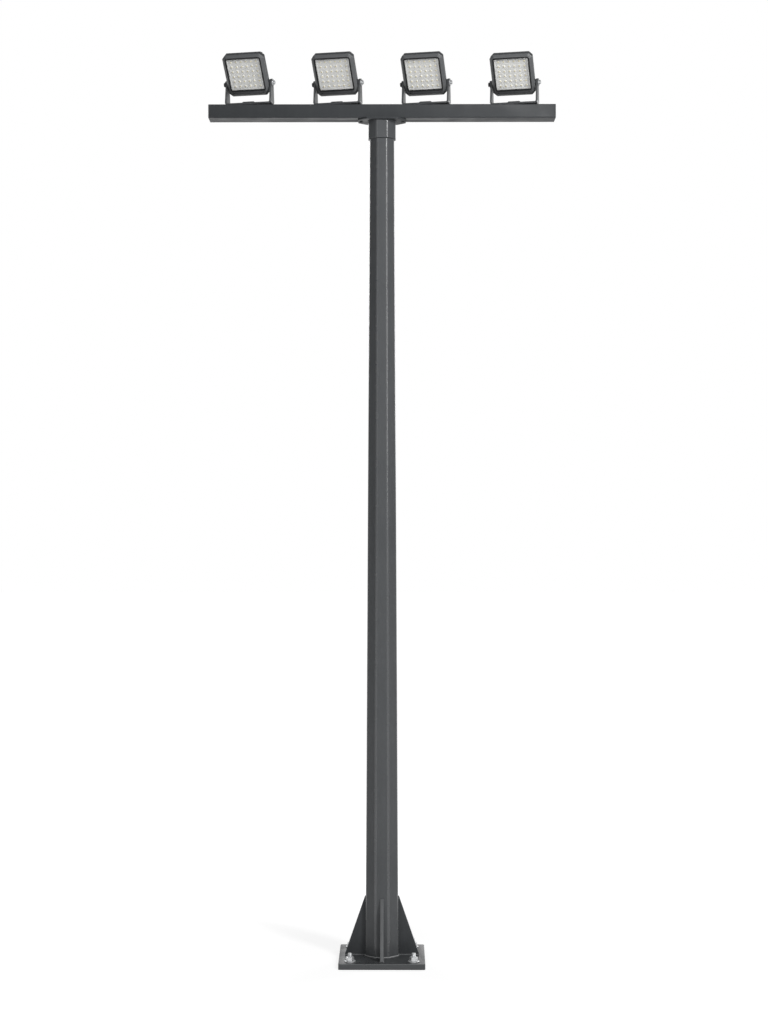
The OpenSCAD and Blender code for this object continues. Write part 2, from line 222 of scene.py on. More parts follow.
# ---- Gussets ----------------------------------------------------------------------------
# Four 24 mm plates, cut to a slope and stood on the base plate against the shaft's flats.
# Their flame-cut slopes take the paler edge paint: a painted highlight.
gussets = rounded_copy("gussets", plate_edge_r, (steel_paint, edge_highlight_paint))
for face in gussets.data.polygons:
    if 0.1 < face.normal.z < 0.9:
        face.material_index = 1

# ---- Shaft ------------------------------------------------------------------------------
# Steel sheet folded to a tapered octagon, with a press brake's round bends, and closed by
# one long seam at the back. Hands and slings have polished the paint along the folds.
column_paint = powder_coat(
    "column_paint", (0.076, 0.080, 0.084), (0.085, 0.089, 0.093), 0.40, 420.0
)
fold_paint = powder_coat(
    "fold_paint", (0.076, 0.080, 0.084), (0.085, 0.089, 0.093), 0.25, 420.0, 0.6, 0.08
)
bend_r = 0.010
cut_edge_share = 0.12


def folded_copy(node):
    """A copy of a piece of folded sheet, with wide bends and its cut edges just broken."""
    piece = rounded_copy(node, bend_r, (column_paint, fold_paint), steps=4)
    piece.modifiers["rounded_edges"].limit_method = "WEIGHT"
    sheet = bmesh.new()
    sheet.from_mesh(piece.data)
    weight = sheet.edges.layers.float.new("bevel_weight_edge")
    for edge in sheet.edges:
        run = edge.verts[1].co - edge.verts[0].co
        if edge.calc_face_angle(0.0) > 0.5:
            upright = abs(run.z) > 0.9 * run.length
            edge[weight] = 1.0 if upright else cut_edge_share
    sheet.to_mesh(piece.data)
    sheet.free()


folded_copy("pole_shaft")

# ---- Top collar -------------------------------------------------------------------------
# A short octagonal sleeve of thicker plate, pushed over the shaft's end and welded to it.
folded_copy("top_collar")

# ---- Welds ------------------------------------------------------------------------------
# Fillet welds laid by hand: round the shaft's foot, up and along both sides of each gusset,
# round the collar's lower edge and round its top under the flange. The shaft's long seam
# is ground almost flush.
bead_r = 0.0048
collar_bead_r = 0.0042
gusset_side_bead_r = 0.0030
gusset_foot_bead_r = 0.0038
ripple = 0.0055
seam_r = 0.0017
seam_sink = 0.0009
seam_x = 0.035


def add_part(bm, part, place=Matrix.Identity(4)):
    """Moves a finished small mesh to its place in the piece's mesh."""
    part.transform(place)
    mesh = bpy.data.meshes.new("part")
    part.to_mesh(mesh)
    part.free()
    bm.from_mesh(mesh)
    bpy.data.meshes.remove(mesh)


def widen(vert, scale):
    """Scales a vertex's distance from the Z axis."""
    vert.co.x *= scale
    vert.co.y *= scale


def give_finish(part, index):
    """Gives all of a part's faces one of its piece's finishes."""
    for face in part.faces:
        face.material_index = index


def weld_run(bm, start, end, radius=bead_r, finish=0):
    """One run of weld bead, swollen at each ripple."""
    run = end - start
    bar = bmesh.new()
    bmesh.ops.create_cone(
        bar, cap_ends=True, segments=8, radius1=radius, radius2=radius, depth=run.length
    )
    long_edges = [e for e in bar.edges if e.calc_length() > 0.9 * run.length]
    bmesh.ops.subdivide_edges(
        bar, edges=long_edges, cuts=int(3 * run.length / ripple), use_grid_fill=True
    )
    for vert in bar.verts:
        along = vert.co.z + 0.5 * abs(vert.co.x)
        widen(vert, 1.0 + 0.10 * math.sin(math.tau * along / ripple))
    give_finish(bar, finish)
    turn_to = run.to_track_quat("Z", "Y").to_matrix().to_4x4()
    add_part(bm, bar, Matrix.Translation((start + end) / 2) @ turn_to)


def finish_piece(name, bm, body, finishes, replaced=(), smooth=35.0):
    """Closes a mesh, turns its faces outwards and makes it a piece that rides on a body."""
    bmesh.ops.remove_doubles(bm, verts=bm.verts, dist=1e-6)
    bmesh.ops.recalc_face_normals(bm, faces=bm.faces)
    mesh = bpy.data.meshes.new(name)
    bm.to_mesh(mesh)
    bm.free()
    for finish in finishes:
        mesh.materials.append(finish)
    mesh.shade_smooth()
    mesh.set_sharp_from_angle(angle=math.radians(smooth))
    piece = bpy.data.objects.new(name, mesh)
    scene.collection.objects.link(piece)
    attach(piece, body)
    if replaced:
        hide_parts(*replaced)
    return piece


def octagon_corner(across, z, index):
    """A corner of an octagon that has a flat to the front."""
    angle = math.radians(22.5 + 45.0 * index)
    reach = across / 2 / math.cos(math.radians(22.5))
    return Vector((reach * math.cos(angle), reach * math.sin(angle), z))


shaft_low, shaft_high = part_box("pole_shaft")
collar_low, collar_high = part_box("top_collar")
gusset_low, gusset_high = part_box("gussets")
plate_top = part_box("base_plate")[1].z
foot_across = shaft_high.x - shaft_low.x
top_across = 0.169
collar_across = collar_high.x - collar_low.x
gusset_t = 0.024
gusset_tip = gusset_high.z


def shaft_across(z):
    """The shaft's width over its flats at a height."""
    part = (z - shaft_low.z) / (shaft_high.z - shaft_low.z)
    return foot_across + part * (top_across - foot_across)


welds = bmesh.new()
for index in range(8):
    # The collar's two welds take the dark steel paint: painted shadow lines under the flange and
    # at the collar's foot.
    for across, height, radius, finish in (
        (foot_across, plate_top + 0.001, bead_r, 0),
        (shaft_across(collar_low.z), collar_low.z, collar_bead_r, 3),
        (collar_across, collar_high.z - 0.001, collar_bead_r, 3),
    ):
        weld_run(
            welds,
            octagon_corner(across, height, index),
            octagon_corner(across, height, index + 1),
            radius,
            finish,
        )
for quarter in range(4):
    turned = Matrix.Rotation(quarter * math.pi / 2, 4, "Z")
    for side in (-1, 1):
        edge = side * gusset_t / 2
        foot_y = -shaft_across(plate_top) / 2
        tip_y = -shaft_across(gusset_tip) / 2
        weld_run(
            welds,
            turned @ Vector((edge, foot_y, plate_top)),
            turned @ Vector((edge, tip_y, gusset_tip - 0.004)),
            gusset_side_bead_r,
            1,
        )
        weld_run(
            welds,
            turned @ Vector((edge, foot_y, plate_top)),
            turned @ Vector((edge, gusset_low.y + 0.002, plate_top)),
            gusset_foot_bead_r,
            2,
        )
seam = []
for z in (plate_top, collar_low.z):
    seam.append(Vector((seam_x, shaft_across(z) / 2 - seam_sink, z)))
seam_bar = bmesh.new()
bmesh.ops.create_cone(
    seam_bar,
    cap_ends=True,
    segments=10,
    radius1=seam_r,
    radius2=seam_r,
    depth=(seam[1] - seam[0]).length,
)
give_finish(seam_bar, 1)
lie = (seam[1] - seam[0]).to_track_quat("Z", "Y").to_matrix().to_4x4()
add_part(welds, seam_bar, Matrix.Translation((seam[0] + seam[1]) / 2) @ lie)
# Pale paint on the shaft's foot weld and a paler grey on the gusset feet: painted highlights on
# the beads. The gusset sides and the seam take a plain grey.
shaft_weld_highlight = powder_coat(
    "shaft_weld_highlight", (0.20, 0.205, 0.21), (0.34, 0.345, 0.35), 0.30, 300.0
)
plain_weld = powder_coat(
    "plain_weld", (0.085, 0.089, 0.093), (0.10, 0.104, 0.108), 0.34, 300.0
)
gusset_weld_highlight = powder_coat(
    "gusset_weld_highlight", (0.11, 0.114, 0.118), (0.18, 0.184, 0.188), 0.32, 300.0
)
finish_piece(
    "welds",
    welds,
    "root",
    (shaft_weld_highlight, plain_weld, gusset_weld_highlight, steel_paint),
    smooth=60.0,
)

# ---- Anchors ----------------------------------------------------------------------------
# Four M30 studs out of the foundation, each with a plate washer and a hexagon nut, all
# hot-dip galvanized after their threads were cut.
fine_steps = 48
sink_w = 0.0012
sink_h = 0.0015
corner_drop = 0.002
chamfer_slope = math.tan(math.radians(30.0))


def galvanized_finish(name, dark, pale, rough):
    """Zinc: crystals of different greys, cloudy where it cooled, soft under a thin white bloom."""
    material, tree, shader, point = new_finish(name, Metallic=0.65)
    crystals = add_node(
        tree, "ShaderNodeTexVoronoi", {"Vector": point, "Scale": 160.0}, feature="F1"
    )
    grey = add_node(
        tree, "ShaderNodeSeparateColor", {"Color": crystals.outputs["Color"]}
    ).outputs["Red"]
    bloom = spread(tree, noise(tree, point, 30.0, detail=4.0), 0.0, 0.5)
    flecked = tint(tree, grey, dark, pale)
    tree.links.new(tint(tree, bloom, flecked, pale), shader.inputs["Base Color"])
    tree.links.new(spread(tree, grey, rough, rough + 0.14, 0.0, 1.0), shader.inputs["Roughness"])
    fine = noise(tree, point, 700.0)
    bump = add_node(tree, "ShaderNodeBump", {"Height": fine, "Strength": 0.3, "Distance": 0.0004})
    tree.links.new(bump.outputs["Normal"], shader.inputs["Normal"])
    return material


def turn(profile, steps=32):
    """A turned solid: the profile's radii and heights spun once about the Z axis."""
    part = bmesh.new()
    verts = [part.verts.new((radius, 0.0, height)) for radius, height in profile]
    edges = [part.edges.new(pair) for pair in zip(verts, verts[1:])]
    bmesh.ops.spin(
        part,
        geom=verts + edges,
        cent=(0, 0, 0),
        axis=(0, 0, 1),
        dvec=(0, 0, 0),
        angle=math.tau,
        steps=steps,
        use_merge=True,
        use_duplicate=False,
    )
    bmesh.ops.remove_doubles(part, verts=part.verts, dist=1e-6)
    bmesh.ops.recalc_face_normals(part, faces=part.faces)
    return part


def off_axis(vert):
    """A vertex's distance from the Z axis."""
    return math.hypot(vert.co.x, vert.co.y)


def hexagon_reach(vert, across):
    """How far a hexagon's side is from its middle, in a vertex's direction."""
    inside = math.atan2(vert.co.y, vert.co.x) % (math.pi / 3) - math.pi / 6
    return across / 2 / math.cos(inside)


def cut_hexagon(part, across, chamfer):
    """Mills a turned part's rim to a hexagon, with chamfers that dip between the corners."""
    for vert in part.verts:
        if off_axis(vert) > 0.55 * across:
            reach = hexagon_reach(vert, across)
            widen(vert, reach / off_axis(vert))
            low, high, flat = chamfer
            drop = (reach - flat) * chamfer_slope
            middle = (low + high) / 2
            vert.co.z = high - drop if vert.co.z > middle else low + drop
    return part


def hexagon_nut(across, height, bore):
    """A hexagon nut with a countersunk bore and chamfered corners, standing on z = 0."""
    flat = 0.47 * across
    corner = 0.6 * across
    mouth = bore + sink_w
    part = turn(
        (
            (bore, sink_h),
            (mouth, 0.0),
            (flat, 0.0),
            (corner, corner_drop),
            (corner, height - corner_drop),
            (flat, height),
            (mouth, height),
            (bore, height - sink_h),
            (bore, sink_h),
        ),
        fine_steps,
    )
    return cut_hexagon(part, across, (0.0, height, flat))


def threaded_end(radius, low, high, pitch, depth, tip):
    """A stud's end with a screw thread and a chamfered tip above it."""
    levels = int((high - low) / pitch * 6)
    profile = [(0.0, low)]
    for step in range(levels + 1):
        profile.append((radius, low + (high - low) * step / levels))
    profile += [(radius - 1.2 * depth, high + tip), (0.0, high + tip)]
    part = turn(profile, 30)
    for vert in part.verts:
        if off_axis(vert) > 0.98 * radius:
            turned_by = math.atan2(vert.co.y, vert.co.x) / math.tau
            phase = (vert.co.z / pitch - turned_by) % 1.0
            cut = depth * abs(2.0 * phase - 1.0)
            widen(vert, (radius - cut) / radius)
    return part


stud_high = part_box("anchor_studs")[1]
nut_low, nut_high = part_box("anchor_nuts")
washer_low, washer_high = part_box("anchor_washers")
stud_r = 0.015
stud_pitch = 0.0035
thread_depth = 0.0019
stud_tip = 0.0012
shank_r = stud_r - 0.001
washer_bore_r = stud_r + 0.0005
washer_edge = 0.0015
anchor_x = stud_high.x - stud_r
washer_r = washer_high.x - anchor_x
nut_across = 2 * (nut_high.y - anchor_x)
zinc = galvanized_finish("bright_zinc", (0.60, 0.61, 0.62), (0.86, 0.87, 0.88), 0.30)
studs = bmesh.new()
nuts = bmesh.new()
washers = bmesh.new()
for x in (-anchor_x, anchor_x):
    for y in (-anchor_x, anchor_x):
        stand = Matrix.Translation((x, y, 0.0))
        thread = threaded_end(
            stud_r, nut_low.z, stud_high.z - stud_tip, stud_pitch, thread_depth, stud_tip
        )
        add_part(studs, thread, stand)
        shank = turn(((0.0, 0.0), (shank_r, 0.0), (shank_r, nut_low.z), (0.0, nut_low.z)))
        add_part(studs, shank, stand)
        nut = hexagon_nut(nut_across, nut_high.z - nut_low.z, stud_r)
        add_part(nuts, nut, Matrix.Translation((x, y, nut_low.z)))
        washer = turn(
            (
                (washer_bore_r, washer_low.z),
                (washer_r - 0.001, washer_low.z),
                (washer_r, washer_low.z + 0.001),
                (washer_r, washer_high.z - washer_edge),
                (washer_r - washer_edge, washer_high.z),
                (washer_bore_r, washer_high.z),
                (washer_bore_r, washer_low.z),
            ),
            fine_steps,
        )
        add_part(washers, washer, stand)
for name, part, replaced, smooth in (
    ("anchor_threads", studs, "anchor_studs", 35.0),
    ("anchor_hexagon_nuts", nuts, "anchor_nuts", 25.0),
    ("anchor_plate_washers", washers, "anchor_washers", 35.0),
):
    finish_piece(name, part, "root", (zinc,), (replaced,), smooth)

# ---- Head flange ------------------------------------------------------------------------
# A 12 mm plate welded on top of the collar, wide in its middle and narrow at its two ends,
# where a hexagon bolt goes up into the crossarm at each.
flange_edge_r = 0.0018
seat = 0.0002
# Its rounded edges take the paler edge paint: a painted highlight.
rounded_copy("head_flange", flange_edge_r, (steel_paint, edge_highlight_paint))


def blackened_finish(name, colour, rough):
    """Blackened steel: an uneven oily oxide, rubbed brighter in places."""
    material, tree, shader, point = new_finish(name, Metallic=0.7)
    rubbed = spread(tree, noise(tree, point, 120.0), 0.0, 1.0, 0.45, 0.7)
    pale = [1.8 * channel for channel in colour]
    tree.links.new(tint(tree, rubbed, colour, pale), shader.inputs["Base Color"])
    tree.links.new(spread(tree, rubbed, rough, rough - 0.12, 0.0, 1.0), shader.inputs["Roughness"])
    return material


black_steel = blackened_finish("blackened_steel", (0.026, 0.026, 0.028), 0.45)


def hexagon_bolt(across, height, shank_r, shank):
    """A hexagon head on z = 0 facing down, with its shank upwards."""
    flat = 0.46 * across
    corner = 0.6 * across
    part = turn(
        (
            (0.0, -height),
            (flat, -height),
            (corner, corner_drop - height),
            (corner, -0.0008),
            (flat, 0.0),
            (shank_r, 0.0),
            (shank_r, shank),
            (0.0, shank),
        ),
        fine_steps,
    )
    return cut_hexagon(part, across, (-height, 0.0, flat))


bolt_low, bolt_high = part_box("flange_bolts")
flange_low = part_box("head_flange")[0]
flange_shank_r = 0.0059
bolt_across = bolt_high.y - bolt_low.y
flange_bolt_x = bolt_high.x - bolt_across / 2 / math.cos(math.radians(30.0))
bolts = bmesh.new()
for x in (-flange_bolt_x, flange_bolt_x):
    head_h = flange_low.z - seat - bolt_low.z
    bolt = hexagon_bolt(bolt_across, head_h, flange_shank_r, bolt_high.z - flange_low.z)
    add_part(bolts, bolt, Matrix.Translation((x, 0.0, flange_low.z - seat)))
finish_piece(
    "flange_hexagon_bolts",
    bolts,
    "root",
    (black_steel,),
    ("flange_bolts",),
    smooth=25.0,
)

# ---- Crossarm ---------------------------------------------------------------------------
# A length of rolled rectangular tube with its mill radius on the long corners, closed at
# each end by a plate that is welded on and ground round.
tube_edge_r = 0.0009
cap_edge_r = 0.0012
rounded_copy("crossarm", tube_edge_r, (steel_paint,), steps=2)
# The caps' rounded edges take the paler edge paint: a painted highlight.
rounded_copy("end_caps", cap_edge_r, (steel_paint, edge_highlight_paint))

# ---- Lamp brackets ----------------------------------------------------------------------
# Each lamp turns on one bolt through the crossarm: a rubber pad below, a yoke bent from
# thick flat bar, and a cast saddle clamped on its foot by the bolt's low head.
bracket_paint = powder_coat(
    "bracket_paint", (0.056, 0.059, 0.062), (0.066, 0.069, 0.072), 0.38, 520.0, 0.35
)
# A paler copy of the bracket paint for the yokes' and saddles' rounded edges: a painted highlight.
bracket_edge_highlight_paint = powder_coat(
    "bracket_edge_highlight_paint", (0.078, 0.081, 0.084), (0.105, 0.108, 0.111), 0.36, 520.0, 0.35
)


def rubber_finish(name):
    """Matt black rubber with a mould's fine grain."""
    material, tree, shader, point = new_finish(name, Roughness=0.8, Specular_IOR_Level=0.25)
    dust = spread(tree, noise(tree, point, 60.0), 0.0, 0.5)
    colour = tint(tree, dust, (0.018, 0.018, 0.019), (0.035, 0.035, 0.036))
    tree.links.new(colour, shader.inputs["Base Color"])
    grain = noise(tree, point, 1500.0)
    bump = add_node(tree, "ShaderNodeBump", {"Height": grain, "Strength": 0.4, "Distance": 0.0002})
    tree.links.new(bump.outputs["Normal"], shader.inputs["Normal"])
    return material


rubber = rubber_finish("black_rubber")
bracket_finishes = (bracket_paint, bracket_edge_highlight_paint)
pad_edge_r = 0.0012
yoke_edge_r = 0.0016
saddle_edge_r = 0.0012
lamp_numbers = (1, 2, 3, 4)
for number in lamp_numbers:
    lamp = "lamp_%d_" % number
    rounded_copy(lamp + "base_pad", pad_edge_r, (rubber,), steps=2)
    rounded_copy(lamp + "yoke", yoke_edge_r, bracket_finishes)
    rounded_copy(lamp + "saddle", saddle_edge_r, bracket_finishes)


def socket_head(radius, height, socket, depth, edge):
    """A low round head with a hexagon socket, standing on z = 0."""
    wall = 0.93 * socket
    part = turn(
        (
            (0.0, 0.0),
            (radius, 0.0),
            (radius, height - edge),
            (radius - edge, height),
            (socket, height),
            (wall, height - 0.3 * edge),
            (wall, height - depth),
            (0.0, height - depth),
        ),
        36,
    )
    for vert in part.verts:
        in_socket = 0.9 * socket < off_axis(vert) < 1.01 * socket
        if in_socket and vert.co.z > 0.2 * height:
            widen(vert, hexagon_reach(vert, 1.8 * socket) / socket)
    return part


pan_low, pan_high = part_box("pan_bolts")
pan_bolt_d = 0.016
pan_head_r = 0.014
pan_head_h = 0.36 * pan_bolt_d
pan_shank_r = 0.0078
pan_nut_across = 0.024
pan_nut_h = 0.8 * pan_bolt_d
pan_thread_out = 0.004
head_low = pan_high.z - pan_head_h
pan_bolts = bmesh.new()
for number in lamp_numbers:
    x = joints["lamp_%d_pan" % number]["pos_m"][0]
    head = socket_head(pan_head_r, pan_head_h, 0.0052, 0.0035, 0.0008)
    add_part(pan_bolts, head, Matrix.Translation((x, 0.0, head_low)))
    shank = turn(
        (
            (0.0, pan_low.z),
            (pan_shank_r, pan_low.z),
            (pan_shank_r, head_low),
            (0.0, head_low),
        )
    )
    add_part(pan_bolts, shank, Matrix.Translation((x, 0.0, 0.0)))
    nut = hexagon_nut(pan_nut_across, pan_nut_h, pan_bolt_d / 2)
    add_part(pan_bolts, nut, Matrix.Translation((x, 0.0, pan_low.z + pan_thread_out)))
finish_piece(
    "pan_socket_bolts",
    pan_bolts,
    "root",
    (black_steel,),
    ("pan_bolts",),
    smooth=25.0,
)

# ---- Lamp housings and bezels -----------------------------------------------------------
# Die-cast aluminium under a fine-textured dark powder coat: a shallow shell with upright
# fins and a driver box behind, and a sloped window frame screwed on its front.
lamp_tilt = math.radians(38.0)
heads = {}
for number in lamp_numbers:
    hinge = joints["lamp_%d_tilt" % number]
    across = Vector(hinge["axis"])
    yaw = Matrix.Rotation(math.atan2(across.y, across.x), 4, "Z")
    lean = Matrix.Rotation(lamp_tilt, 4, "X")
    heads[number] = Matrix.Translation(hinge["pos_m"]) @ yaw @ lean


def head_box(node, place):
    """A CAD node's lowest and highest corners in its own lamp head's frame."""
    back = place.inverted()
    points = [back @ vert.co for vert in nodes[node].data.vertices]
    low = Vector([min(point[axis] for point in points) for axis in range(3)])
    high = Vector([max(point[axis] for point in points) for axis in range(3)])
    return low, high


# The housing's grey is partly the coat's own colour and partly painted shade: it is set darker for
# the shade round the pivot bosses.
casting = powder_coat(
    "lamp_casting", (0.040, 0.042, 0.045), (0.047, 0.050, 0.053), 0.46, 900.0, 0.25
)
bezel_face = powder_coat(
    "lamp_bezel_face", (0.056, 0.058, 0.061), (0.066, 0.069, 0.072), 0.48, 900.0, 0.25
)
# A paler copy of the frame's coat for its sloped band: painted light.
bezel_slope_lit = powder_coat(
    "lamp_bezel_slope", (0.092, 0.095, 0.099), (0.110, 0.114, 0.118), 0.42, 900.0, 0.4
)
# A paler copy of the coat for the frames' and lids' rounded edges: a painted highlight.
casting_edge_highlight = powder_coat(
    "lamp_casting_edge", (0.10, 0.104, 0.108), (0.14, 0.144, 0.148), 0.36, 900.0, 0.5
)
housing_edge_r = 0.0010
bezel_edge_r = 0.0014
bezel_finishes = (bezel_face, bezel_slope_lit, casting_edge_highlight)
for number in lamp_numbers:
    lamp = "lamp_%d_" % number
    rounded_copy(
        lamp + "housing", housing_edge_r, (casting,), steps=2, angle=32.0
    )
    bezel = rounded_copy(
        lamp + "bezel", bezel_edge_r, bezel_finishes, angle=32.0
    )
    forward = heads[number].to_3x3() @ Vector((0.0, -1.0, 0.0))
    # The sloped band takes the paler coat: painted light.
    for face in bezel.data.polygons:
        if 0.3 < face.normal.dot(forward) < 0.95:
            face.material_index = 1

# ---- LED boards -------------------------------------------------------------------------
# A white reflector board behind the glass, with a raised rim round it and six rows of six
# light-emitting packages, each a yellow phosphor dot under a milky moulded lens.
def board_finish(name, colour, rough):
    """White solder mask with a faint cloudiness."""
    material, tree, shader, point = new_finish(name, Roughness=rough, Specular_IOR_Level=0.4)
    cloud = spread(tree, noise(tree, point, 40.0), 0.0, 1.0)
    shade = [0.93 * channel for channel in colour]
    tree.links.new(tint(tree, cloud, colour, shade), shader.inputs["Base Color"])
    return material


board_white = board_finish("board_white", (0.79, 0.785, 0.775), 0.45)
rim_white = board_finish("rim_white", (0.86, 0.86, 0.855), 0.40)
lens_milky = board_finish("lens_milky", (0.82, 0.81, 0.77), 0.35)
phosphor = board_finish("phosphor_yellow", (0.86, 0.76, 0.46), 0.40)
# Grey for a thin band inside the rim: the painted shade of a groove.
groove_shade_grey = board_finish("board_groove_shade", (0.55, 0.55, 0.55), 0.5)


def ring(w, h, corner, width, t):
    """A flat rectangular ring with round corners, of a given width and thickness."""
    band = bmesh.new()
    bmesh.ops.create_grid(band, x_segments=1, y_segments=1, size=0.5)
    bmesh.ops.scale(band, vec=(w, h, 1.0), verts=band.verts)
    bmesh.ops.bevel(
        band,
        geom=list(band.verts),
        offset=corner,
        offset_type="OFFSET",
        affect="VERTICES",
        segments=6,
        profile=0.5,
        material=-1,
    )
    bmesh.ops.inset_individual(
        band, faces=list(band.faces), thickness=width, use_even_offset=True
    )
    inner = max(band.faces, key=lambda face: face.calc_area())
    bmesh.ops.delete(band, geom=[inner], context="FACES_ONLY")
    raised = bmesh.ops.extrude_face_region(band, geom=list(band.faces))
    lifted = [item for item in raised["geom"] if isinstance(item, bmesh.types.BMVert)]
    bmesh.ops.translate(band, vec=(0.0, 0.0, t), verts=lifted)
    return band


def in_front(place, spot):
    """Turns a part that stands on z = 0 to look out of a lamp's front at a spot."""
    return place @ Matrix.Translation(spot) @ Matrix.Rotation(math.pi / 2, 4, "X")


window_w = 0.241
window_h = 0.233
board_corner = 0.011
rim_w = 0.012
rim_t = 0.003
groove_w = 0.0022
groove_t = 0.0012
lens_pitch = 0.0365
lens_r = 0.0095
lens_steps = 14
dot_r = 0.55 * lens_r
lens_count = 6
lens_spots = [(step - (lens_count - 1) / 2) * lens_pitch for step in range(lens_count)]
for number in lamp_numbers:
    lamp = "lamp_%d_" % number
    board = nodes[lamp + "led_panel"]
    board.data.materials.clear()
    board.data.materials.append(board_white)
    low, high = head_box(lamp + "led_panel", heads[number])
    middle = (low + high) / 2
    front = low.y
    array = bmesh.new()
    for across in lens_spots:
        for up in lens_spots:
            lens = turn(
                (
                    (lens_r, -0.0004),
                    (0.93 * lens_r, 0.0014),
                    (0.74 * lens_r, 0.0027),
                    (0.52 * lens_r, 0.0034),
                    (0.0, 0.0040),
                ),
                lens_steps,
            )
            for face in lens.faces:
                if face.calc_center_median().xy.length < dot_r:
                    face.material_index = 1
            spot = Vector((middle.x + across, front, middle.z + up))
            add_part(array, lens, in_front(heads[number], spot))
    finish_piece(
        lamp + "lenses",
        array,
        lamp + "head",
        (lens_milky, phosphor),
        smooth=60.0,
    )
    rim = ring(window_w + 0.002, window_h + 0.002, board_corner, rim_w, rim_t)
    bed = Vector((middle.x, front - 0.00005, middle.z))
    border = bmesh.new()
    add_part(border, rim, in_front(heads[number], bed))
    # A thin grey band inside the rim stands for a groove: its grey is painted shade.
    groove = ring(
        window_w - 2 * rim_w - 0.001,
        window_h - 2 * rim_w - 0.001,
        board_corner,
        groove_w,
        groove_t,
    )
    give_finish(groove, 1)
    add_part(border, groove, in_front(heads[number], bed))
    finish_piece(
        lamp + "board_rim", border, lamp + "head", (rim_white, groove_shade_grey)
    )

# ---- Cover glass ------------------------------------------------------------------------
# Toughened glass, 3 mm, bedded in the bezel's rebate; a trace of dust lies on its face. A
# black silicone lip covers the gap round it.
def glass_finish(name):
    """Clear glass that lets the studio's light through to the board."""
    material, tree, shader, point = new_finish(
        name, Base_Color=(0.98, 0.985, 0.98, 1.0), IOR=1.45, Transmission_Weight=1.0
    )
    film = spread(tree, noise(tree, point, 25.0), 0.02, 0.08)
    tree.links.new(film, shader.inputs["Roughness"])
    clear = add_node(tree, "ShaderNodeBsdfTransparent", {"Color": (0.96, 0.96, 0.955, 1.0)})
    path = tree.nodes.new("ShaderNodeLightPath")
    seen = shader.outputs[0]
    for ray in ("Is Shadow Ray", "Is Diffuse Ray"):
        mix = add_node(tree, "ShaderNodeMixShader", {0: path.outputs[ray]})
        tree.links.new(seen, mix.inputs[1])
        tree.links.new(clear.outputs[0], mix.inputs[2])
        seen = mix.outputs[0]
    tree.links.new(seen, tree.nodes["Material Output"].inputs["Surface"])
    return material


cover_glass = glass_finish("cover_glass")
lip_w = 0.0095
lip_t = 0.0015
lip_corner = 0.019
lip_lap = 0.001
lip_sink = 0.0008
for number in lamp_numbers:
    pane = nodes["lamp_%d_glass" % number]
    pane.data.materials.clear()
    pane.data.materials.append(cover_glass)
    bezel_front = head_box("lamp_%d_bezel" % number, heads[number])[0].y
    low, high = head_box("lamp_%d_glass" % number, heads[number])
    middle = (low + high) / 2
    lip = ring(
        window_w + 2 * lip_w, window_h + 2 * lip_w, lip_corner, lip_w + lip_lap, lip_t
    )
    lip_seat = Vector((middle.x, bezel_front + lip_sink, middle.z))
    sealing = bmesh.new()
    add_part(sealing, lip, in_front(heads[number], lip_seat))
    finish_piece(
        "lamp_%d_glass_lip" % number,
        sealing,
        "lamp_%d_head" % number,
        (rubber,),
    )

# ---- Screws of the lamp heads -----------------------------------------------------------
# Two black socket screws close each bezel at its foot. On each side a serrated disc and a
# pivot screw lock the tilt against the yoke's ear.
def stainless_finish(name, colour, rough):
    """Satin stainless steel with turning marks."""
    material, tree, shader, point = new_finish(name, Metallic=0.9)
    marks = noise(tree, point, 900.0, (1, 1, 0.2))
    shade = [0.8 * channel for channel in colour]
    lines = spread(tree, marks, 0.0, 1.0)
    tree.links.new(tint(tree, lines, colour, shade), shader.inputs["Base Color"])
    tree.links.new(spread(tree, marks, rough - 0.04, rough + 0.08), shader.inputs["Roughness"])
    return material


stainless = stainless_finish("satin_stainless", (0.62, 0.63, 0.64), 0.28)
disc_grey = stainless_finish("disc_steel", (0.46, 0.47, 0.48), 0.36)
bezel_screw_in = 0.014
bezel_screw_drop = 0.009
disc_t = 0.006
disc_edge = 0.0012
disc_step = 0.0008
serrations = 36
serration_root = 0.975
head_t = 0.012
pivot_head_r = 0.015
pivot_shank_r = 0.0059
